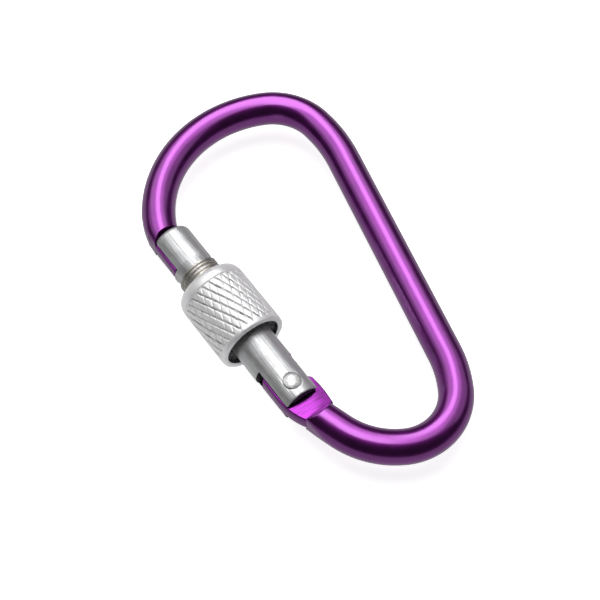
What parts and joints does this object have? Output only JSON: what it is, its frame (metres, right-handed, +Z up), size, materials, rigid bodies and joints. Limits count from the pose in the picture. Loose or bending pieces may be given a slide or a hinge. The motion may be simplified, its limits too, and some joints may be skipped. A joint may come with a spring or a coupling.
{
  "type": "locking carabiner",
  "caption": "Screw-lock carabiner: a bent rod loop, a sprung slotted gate on a rivet hinge and a knurled sleeve that screws over the closed nose.",
  "frame": {"origin": "under the middle of the bounding box, on the plane that the sleeve rests on when the carabiner lies flat", "axes": "+X along the gate from its nose to its hinge; +Y across the loop from the gate to the spine; +Z up, square to the loop's plane"},
  "size_m": [0.0812, 0.0464, 0.0128],
  "materials": {
    "anodised_rod": "satin-gloss purple anodising",
    "turned_aluminium": "bright turned, bare",
    "sleeve_aluminium": "bright, coarse diagonal knurl with a plain band at the nose",
    "rivet_steel": "polished domed heads",
    "plunger_steel": "plain turned",
    "spring_wire": "drawn wire"
  },
  "bodies": {
    "frame": {"bent_frame": "anodised_rod"},
    "gate": {"gate_barrel": "turned_aluminium", "hinge_rivet": "rivet_steel", "return_spring": "spring_wire"},
    "plunger": {"spring_plunger": "plunger_steel"},
    "sleeve_carriage": {"sleeve_nose_ring": "sleeve_aluminium"},
    "sleeve_turner": {"sleeve_grip": "sleeve_aluminium"}
  },
  "joints": [
    {"name": "gate_swing", "type": "hinge", "parent": "frame", "child": "gate", "pos_m": [0.01654, -0.01685, 0.0064], "axis": [0, 0, -1], "range_deg": [0, 32], "stiffness_Nm_per_rad": 0.15, "springref_deg": -57.3},
    {"name": "plunger_slide", "type": "slide", "parent": "gate", "child": "plunger", "axis": [-1, 0, 0], "range_m": [0, 0.00068], "deforming": ["return_spring"]},
    {"name": "sleeve_travel", "type": "slide", "parent": "gate", "child": "sleeve_carriage", "axis": [-1, 0, 0], "range_m": [0, 0.014]},
    {"name": "sleeve_turn", "type": "hinge", "parent": "sleeve_carriage", "child": "sleeve_turner", "pos_m": [0.01654, -0.01685, 0.0064], "axis": [-1, 0, 0], "range_deg": [0, 3600]}
  ],
  "couplings": [
    {"joint": "plunger_slide", "follows": "gate_swing", "m_per_rad": 0.0012},
    {"joint": "sleeve_travel", "follows": "sleeve_turn", "m_per_rad": 0.00022281}
  ]
}
